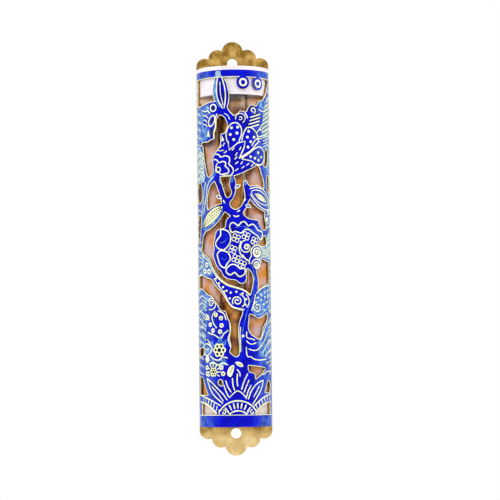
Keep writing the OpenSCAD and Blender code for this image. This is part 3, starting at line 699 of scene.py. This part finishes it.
def lower_fan(d):
    heart = (0.4, 1.2)
    d.bend(arc(heart, 8, 34, 146, 20), 0.55)
    d.bend(arc(heart, 4.5, 48, 132, 12), 0.55)
    d.fan(heart, 5.5, 7.1, (52, 66, 79, 91, 103, 116, 130), 0.55)
    for side in (-1, 1):
        u = heart[0] + side * 5.2
        d.bend(curl((u, 5.2), 0.9, 0.3, 90, side * 300, 12), 0.4)
        d.stroke([(u - side * 2.4, 4.4), (u - side * 1.4, 5.5)], 0.45)
    d.stroke([(-2.6, 10.4), (-1.4, 11.6), (0.3, 12.7), (2, 11.7), (3.2, 10.4)], 0.44)
    # pointed petals
    d.strokes(0.46, [(-12.2, 17.2), (-11, 14.4), (-9.5, 12), (-7.3, 10), (-5.2, 8.4)],
        [(-12.2, 17.2), (-9.8, 15.8), (-7.5, 13.9), (-5.2, 11.8), (-3.5, 9.6)])
    d.stroke([(-9.6, 14.2), (-7, 11.8), (-5, 9.2)], 0.4)
    d.strokes(0.46, [(10.5, 16.3), (8.6, 15.7), (7, 14.7), (5.3, 12.6), (4.1, 9.8)],
        [(10.5, 16.3), (10, 14.4), (9, 12.4), (7.2, 9.9), (5.8, 8)])
    d.stroke([(6.2, 10.6), (7.4, 12.4), (8.6, 14.2)], 0.4)
    d.strokes(0.46, [(0.3, 18.6), (0.1, 16.6), (0.3, 14.4)],
        [(-3.9, 16.2), (-3.2, 14.2), (-2.1, 12.4)],
        [(-1.5, 17), (-1.3, 14.6), (-0.8, 13)],
        [(3.9, 18.6), (2.6, 16), (1.7, 13.2)],
        [(4.4, 16.4), (3.3, 14), (2.6, 12.2)],
        [(5.2, 14.6), (4, 12.4), (3.3, 10)],
        [(-4.6, 14.6), (-3.8, 12.4), (-2.9, 10.6)])
    # laddered arms
    d.strokes(0.46, [(-17, 11.2), (-13, 10.4), (-9.4, 9.2), (-6.1, 7.6)],
        [(-17, 8.9), (-12.8, 8.2), (-10.2, 7), (-7.6, 4.9)])
    d.dashes([(-14.6, 9.6), (-13, 9.4), (-11.5, 9), (-10.1, 8.3), (-8.8, 7.6), (-7.6, 6.6)], 1.6, 72,
        0.38)
    d.strokes(0.46, [(6.4, 7.4), (9, 9.4), (12.2, 10.9), (17, 11.6)],
        [(6.6, 4.8), (8.8, 6.8), (11.6, 8.2), (17, 9)])
    d.dashes([(7.4, 6.9), (8.6, 7.9), (9.9, 8.8), (11.3, 9.4), (12.8, 9.9), (14.4, 10.1)], 1.6, 112,
        0.38)
    d.stroke([(-6.6, 4.6), (-6.6, 6)], 0.4)


def side_veins(d):
    """Even, parallel veins on both sides of the cover, light and dark in turn."""
    for low, high, inner, rise in ((18.6, 40.4, 14.6, 1.6), (41.4, 58.4, 15.2, -1.4),
                                   (60, 79.4, 15.7, 1.6), (80.6, 98.6, 15.9, -1.4),
                                   (100, 119.4, 15.2, 1.6)):
        count = int((high - low) / VEIN_STEP)
        for i in range(count + 1):
            v = low + (high - low) * i / count
            for side in (-1, 1):
                d.stroke([(side * inner, v), (side * VEIN_END, v + rise)], VEIN_WIDTH,
                         "dark" if i % 2 else "line")


def artwork():
    d = Drawing()
    d.strip(-EDGE_U, EDGE_U, "blue")
    for paint in (bands, small_birds, great_bird, branch, flower, lower_birds, trunk,
                  side_veins, lower_fan, windows):
        paint(d)
    for c in RINGS:
        d.disc(c, RING_R, 20, "blue")
        d.ring(c, RING_R - 0.2, 0.4, "blue")
        d.disc(c, 1.5, 16, "line")
        d.disc(c, 0.85, 14, "blue")
        d.flat([(c[0] - 0.9, c[1] + 1.9), (c[0] + 0.9, c[1] + 1.9), (c[0] + 1.1, BAND_HIGH),
            (c[0] - 1.1, BAND_HIGH)], "blue")
    for u, v, tilt in LEAFLETS:
        d.flat(leaflet((u, v), LEAFLET_L, LEAFLET_W, tilt), "line")
        d.flat(leaflet((u, v), LEAFLET_L - 0.7, LEAFLET_W - 0.6, tilt), "sky")
    # Near each side edge, a strip of dark enamel as painted shade where the cover turns away at its
    # silhouette, then a narrow bare edge.
    bare = EDGE_U - 0.4
    rail = RAIL_U + 0.9
    for side in (-1, 1):
        d.strip(side * rail, side * bare, "dark")
        d.strip(side * bare, side * EDGE_U, "line")
    u = -EDGE_U
    while u < EDGE_U:
        d.rule((u, 0), (u, COVER_H))
        u += GRID
    return d.triangles()


# ---- closed solids on the cover

def on_cover(u, v, r):
    a = u / ART_R
    return Vector((r * math.sin(a), AXIS_Y - r * math.cos(a), COVER_LOW.z + v * MM))


def slab(points, tris, low, high, rounding, out):
    """Adds one closed solid over the triangles to out = (points, faces, normals, tones)."""
    verts, faces, normals, tones = out
    edges = {}
    for corners, tone in tris:
        for a, b in zip(corners, corners[1:] + corners[:1]):
            edges[a, b] = True
    rim = [e for e in edges if (e[1], e[0]) not in edges]
    lean = {}
    for a, b in rim:
        d = (points[b] - points[a]).normalized()
        for k in (a, b):
            lean[k] = lean.get(k, Vector((0, 0))) + Vector((d.y, -d.x))
    used = {}
    for corners, tone in tris:
        for k in corners:
            if k not in used:
                used[k] = len(verts)
                u, v = points[k]
                verts.append(on_cover(u, v, high))
                verts.append(on_cover(u, v, low))

    def direction(k, slope):
        a = points[k].x / ART_R
        n = Vector((math.sin(a), -math.cos(a), 0))
        side = lean.get(k)
        if side is not None and side.length > 1e-9:
            side = side.normalized() * slope
            n = n + Vector((math.cos(a), math.sin(a), 0)) * side.x + Vector((0, 0, side.y))
        return n.normalized()

    for corners, tone in tris:
        faces.append([used[k] for k in corners])
        normals.extend(direction(k, rounding) for k in corners)
        tones.append(tone)
        faces.append([used[k] + 1 for k in corners[::-1]])
        normals.extend(-direction(k, 0) for k in corners[::-1])
        tones.append(tone)
    tone = tris[0][1]
    for a, b in rim:
        d = (points[b] - points[a]).normalized()
        i, j = used[a], used[b]
        faces.append([i + 1, j + 1, j, i])
        for k in (a, b, b, a):
            turn = points[k].x / ART_R
            side = Vector((math.cos(turn), math.sin(turn), 0)) * d.y
            normals.append((side - Vector((0, 0, d.x))).normalized())
        tones.append(tone)


def solid(name, parts, materials):
    """A piece of the cover from slabs: parts is [(tris, low, high, rounding)]."""
    out = ([], [], [], [])
    for tris, low, high, rounding in parts:
        if tris:
            slab(POINTS, tris, low, high, rounding, out)
    verts, faces, normals, tones = out
    mesh = bpy.data.meshes.new(name)
    mesh.from_pydata(verts, [], faces)
    order = sorted(set(tones))
    for t in order:
        mesh.materials.append(materials[t])
    for poly, t in zip(mesh.polygons, tones):
        poly.material_index = order.index(t)
        poly.use_smooth = True
    mesh.normals_split_custom_set(normals)
    obj = bpy.data.objects.new(name, mesh)
    bpy.context.scene.collection.objects.link(obj)
    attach(obj, "case")
    return obj


# ---- materials

def srgb(r, g, b):
    out = []
    for c in (r / 255, g / 255, b / 255):
        out.append(c / 12.92 if c <= 0.04045 else ((c + 0.055) / 1.055) ** 2.4)
    return (*out, 1)


def mottle(mat, vector, colours, size, detail, span):
    """A noise, and a ramp that turns the middle of its range into the given colours."""
    nodes = mat.node_tree.nodes
    links = mat.node_tree.links
    noise = nodes.new("ShaderNodeTexNoise")
    noise.inputs["Scale"].default_value = 1 / (size * MM)
    noise.inputs["Detail"].default_value = detail
    links.new(vector, noise.inputs["Vector"])
    ramp = nodes.new("ShaderNodeValToRGB")
    while len(ramp.color_ramp.elements) < len(colours):
        ramp.color_ramp.elements.new(0.5)
    for i, (stop, c) in enumerate(zip(ramp.color_ramp.elements, colours)):
        stop.position = 0.5 - span / 2 + span * i / (len(colours) - 1)
        stop.color = srgb(*c)
    links.new(noise.outputs["Fac"], ramp.inputs["Fac"])
    return noise, ramp


def material(name, colours, size, stretch=(1, 1, 1), bump=0.0, rough=None, **sockets):
    """A Principled finish whose colour wanders through a noise between the given colours."""
    mat = bpy.data.materials.new(name)
    mat.use_nodes = True
    nodes = mat.node_tree.nodes
    links = mat.node_tree.links
    shade = nodes["Principled BSDF"]
    for key, value in sockets.items():
        label = key.replace("_", " ").title().replace("Ior", "IOR")
        shade.inputs[label].default_value = value
    where = nodes.new("ShaderNodeTexCoord")
    place = nodes.new("ShaderNodeMapping")
    place.inputs["Scale"].default_value = stretch
    links.new(where.outputs["Object"], place.inputs["Vector"])
    noise, ramp = mottle(mat, place.outputs["Vector"], colours, size, 5, 0.4)
    links.new(ramp.outputs["Color"], shade.inputs["Base Color"])
    if rough:
        spread = nodes.new("ShaderNodeMapRange")
        spread.inputs["From Min"].default_value = 0.3
        spread.inputs["From Max"].default_value = 0.7
        spread.inputs["To Min"].default_value = rough[0]
        spread.inputs["To Max"].default_value = rough[1]
        links.new(noise.outputs["Fac"], spread.inputs["Value"])
        links.new(spread.outputs["Result"], shade.inputs["Roughness"])
    if bump:
        relief = nodes.new("ShaderNodeBump")
        relief.inputs["Strength"].default_value = bump
        relief.inputs["Distance"].default_value = 0.1 * MM
        links.new(noise.outputs["Fac"], relief.inputs["Height"])
        links.new(relief.outputs["Normal"], shade.inputs["Normal"])
    return mat


def tint(mat, axis, start, end, colours, size, most=1.0, way=0):
    """Blends another mottled colour in along one axis, on both sides of the middle or, with a
    way of 1 or -1, on one side."""
    nodes = mat.node_tree.nodes
    links = mat.node_tree.links
    base = nodes["Principled BSDF"].inputs["Base Color"]
    under = base.links[0].from_socket
    where = nodes.new("ShaderNodeTexCoord")
    split = nodes.new("ShaderNodeSeparateXYZ")
    links.new(where.outputs["Object"], split.inputs["Vector"])
    far = nodes.new("ShaderNodeMath")
    far.operation = "MULTIPLY" if way else "ABSOLUTE"
    far.inputs[1].default_value = way
    links.new(split.outputs[axis], far.inputs[0])
    share = nodes.new("ShaderNodeMapRange")
    share.interpolation_type = "SMOOTHSTEP"
    share.inputs["From Min"].default_value = start * MM
    share.inputs["From Max"].default_value = end * MM
    share.inputs["To Max"].default_value = most
    links.new(far.outputs[0], share.inputs["Value"])
    ramp = mottle(mat, where.outputs["Object"], colours, size, 2, 0.3)[1]
    blend = nodes.new("ShaderNodeMix")
    blend.data_type = "RGBA"
    links.new(share.outputs["Result"], blend.inputs["Factor"])
    links.new(under, blend.inputs["A"])
    links.new(ramp.outputs["Color"], blend.inputs["B"])
    links.new(blend.outputs["Result"], base)


FINISH = {
    "blue": material("cobalt_enamel", [(0, 0, 132), (0, 2, 180), (0, 20, 200)], 2.6,
                     bump=0.12, rough=(0.1, 0.2), specular_ior_level=0.1),
    "sky": material("light_blue_enamel", [(16, 56, 150), (64, 112, 190), (132, 176, 210)], 1.4,
                    bump=0.15, rough=(0.12, 0.24), specular_ior_level=0.15),
    "dark": material("dark_blue_enamel", [(2, 3, 30), (4, 6, 66)], 2,
                     bump=0.1, rough=(0.1, 0.2), specular_ior_level=0.15),
    "pale": material("pale_blue_enamel", [(40, 96, 140), (166, 196, 196), (30, 76, 168)], 1,
                     bump=0.15, rough=(0.14, 0.28), specular_ior_level=0.15),
    "line": material("pale_brass_line", [(206, 208, 142), (234, 236, 186), (246, 246, 212)], 1.8,
                     bump=0.2, rough=(0.2, 0.36), metallic=0.2),
    # The brass sheet shows only on its inner faces and cut edges; its brown is darkened there as
    # painted shade.
    "sheet": material("cover_brass", [(126, 76, 26), (206, 150, 72)], 3, (1, 1, 0.3),
                      bump=0.25, rough=(0.22, 0.4), metallic=1),
}
GOLD = [(148, 110, 42), (188, 150, 74), (216, 178, 102)]
# The back plate: brass whose mottle runs down to dark brown where it lies inside the cover, partly its
# own colour and partly painted shade and painted reflections of the cover's inner side. The tints below
# add more painted light, and turn the tabs and the back plain gold.
PLATE = material("plate_brass", [(64, 26, 4), (150, 78, 16), (255, 166, 44), (255, 206, 96)], 7,
                 bump=0.04, rough=(0.18, 0.28), metallic=0.9)
# Painted reflection: from 4 mm out from the middle, fully by 8 mm, the plate turns pinkish white, for
# the white studio mirrored in it through the openings.
tint(PLATE, "X", 4, 8, [(255, 164, 60), (246, 214, 216), (252, 176, 100)], 8, 0.9)
# Painted light: from 49 mm up, under and behind the top plug, the plate turns pale peach, lifting the
# plug's shadow.
tint(PLATE, "Z", 49, 53.5, [(255, 196, 128), (255, 224, 200)], 4, 0.9, way=1)
tint(PLATE, "Z", 61.5, 63, GOLD, 2.4)
# Painted light: the lower tab is paler than the upper one, as if more brightly lit from below.
tint(PLATE, "Z", 63.5, 69, [(226, 192, 122), (255, 226, 162)], 3, 0.95, way=-1)
tint(PLATE, "Y", 0.85, 0.5, GOLD, 9)
# Painted highlight: the cobalt enamel turns lighter blue from 5 mm out towards both sides, for the
# glare of the side lights.
tint(FINISH["blue"], "X", 5, 12.5, [(16, 58, 160), (80, 130, 190)], 2, 0.55)
SOLDER = material("solder_metal", [(150, 146, 140), (190, 186, 178)], 1.2, bump=0.4,
                  rough=(0.3, 0.5), metallic=1)
WHITE = material("white_plastic", [(214, 207, 214), (226, 220, 226)], 4, bump=0.1,
                 rough=(0.3, 0.42), subsurface_weight=0.1, subsurface_scale=0.002)
# The bottom plug: the same white plastic as the top plug, painted greyer and pinker as painted shade,
# for its place deep in the cover's shadow.
SHADED_WHITE = material("white_plastic_painted_shade", [(186, 168, 162), (210, 198, 194)], 4, bump=0.1,
                rough=(0.34, 0.46), subsurface_weight=0.1, subsurface_scale=0.002)
CLEAR = material("clear_plastic", [(252, 252, 254), (255, 255, 255)], 8, (1, 1, 0.1),
                 rough=(0.01, 0.03), transmission_weight=1, ior=1.3)

# ---- pieces

FIELDS = ("lower_band_enamel", "fan_enamel", "trunk_enamel", "lower_birds_enamel",
          "flower_enamel", "branch_enamel", "great_bird_enamel", "small_birds_enamel",
          "upper_band_enamel")

POINTS, TRIS = artwork()
lows = [(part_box(n)[0].z - COVER_LOW.z) / MM - HALF_LINE for n in FIELDS]
lines = []
enamel = {n: {} for n in FIELDS}
metal = []
for corners, tone in TRIS:
    if tone == "hole":
        continue
    metal.append((corners, "sheet"))
    if tone == "line":
        lines.append((corners, "line"))
        continue
    middle = sum(POINTS[k].y for k in corners) / 3
    node = FIELDS[max(i for i, low in enumerate(lows) if i == 0 or middle > low)]
    enamel[node].setdefault(tone, []).append((corners, tone))

sheet = solid("cover_sheet", [(metal, INNER_R, SHEET_R, 0)], FINISH)
wires = solid("cover_lines", [(lines, SHEET_R, OUTER_R, LINE_LEAN)], FINISH)
for piece in (sheet, wires):
    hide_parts("front_cover")
for node, tones in enamel.items():
    parts = [(tris, SHEET_R, OUTER_R - ENAMEL_SINK, ENAMEL_LEAN) for tris in tones.values()]
    piece = solid(node.replace("enamel", "art"), parts, FINISH)
    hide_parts(node)

for node, finish in (("back_plate", PLATE), ("solder_seams", SOLDER), ("top_plug", WHITE),
                     ("scroll_tube", CLEAR), ("bottom_plug", SHADED_WHITE)):
    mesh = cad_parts[node].data
    mesh.materials.clear()
    mesh.materials.append(finish)

# ---- floor, light and camera

mid_height = COVER_LOW.z + 64 * MM
bpy.ops.mesh.primitive_plane_add(size=6, location=(0, 0, mid_height - FLOOR_DROP))
floor = bpy.context.object
floor.name = "studio_floor"
floor.data.materials.append(material("floor_white", [(240, 240, 240), (246, 246, 246)], 60,
                                     rough=(0.8, 0.9)))

world = bpy.data.worlds.new("studio")
bpy.context.scene.world = world
world.use_nodes = True
nodes = world.node_tree.nodes
links = world.node_tree.links
sky = nodes["Background"]
way = nodes.new("ShaderNodeTexCoord")
split = nodes.new("ShaderNodeSeparateXYZ")
links.new(way.outputs["Generated"], split.inputs["Vector"])
shade = nodes.new("ShaderNodeValToRGB")
shade.color_ramp.elements[0].position = 0.1
shade.color_ramp.elements[0].color = (FRONT_DARK, FRONT_DARK, FRONT_DARK, 1)
shade.color_ramp.elements[1].position = 0.42
shade.color_ramp.elements[1].color = (1, 1, 1, 1)
spread = nodes.new("ShaderNodeMapRange")
spread.inputs["From Min"].default_value = -1
spread.inputs["From Max"].default_value = 1
links.new(split.outputs["Y"], spread.inputs["Value"])
links.new(spread.outputs["Result"], shade.inputs["Fac"])
links.new(shade.outputs["Color"], sky.inputs["Color"])
sky.inputs["Strength"].default_value = 1


def softbox(name, place, width, height, power):
    """A soft light that looks at the case."""
    light = bpy.data.lights.new(name, "AREA")
    light.shape = "RECTANGLE"
    light.size = width
    light.size_y = height
    light.energy = power
    lamp = bpy.data.objects.new(name, light)
    lamp.location = (place[0], place[1], mid_height + place[2])
    lamp.rotation_euler = (-Vector(place)).to_track_quat("-Z", "Y").to_euler()
    bpy.context.scene.collection.objects.link(lamp)


softbox("light_top", (0, -0.55, 0.5), 0.8, 0.35, 2.5)
softbox("light_low", (0, -0.6, -0.42), 0.6, 0.25, 4)
softbox("light_left", (-0.8, -0.05, 0.1), 0.3, 1, 2)
softbox("light_right", (0.8, -0.05, 0.1), 0.3, 1, 2)

lean = math.radians(CAMERA_LEAN)
tilt = math.radians(CAMERA_TILT)
back = Vector((0, -math.cos(tilt), math.sin(tilt)))
right = Vector((1, 0, 0))
up = back.cross(right)
turned_up = up * math.cos(lean) + right * math.sin(lean)
turned_right = turned_up.cross(back)
aim = Vector((0, AXIS_Y, mid_height))
camera = bpy.data.cameras.new("camera")
camera.sensor_width = SENSOR
camera.lens = CAMERA_LENS
camera.shift_x, camera.shift_y = CAMERA_SHIFT
camera.clip_start = 0.01
viewer = bpy.data.objects.new("camera", camera)
viewer.matrix_world = Matrix((
    (turned_right.x, turned_up.x, back.x, aim.x + back.x * CAMERA_FAR),
    (turned_right.y, turned_up.y, back.y, aim.y + back.y * CAMERA_FAR),
    (turned_right.z, turned_up.z, back.z, aim.z + back.z * CAMERA_FAR),
    (0, 0, 0, 1),
))
bpy.context.scene.collection.objects.link(viewer)
bpy.context.scene.camera = viewer
bpy.context.scene.view_settings.view_transform = "Standard"
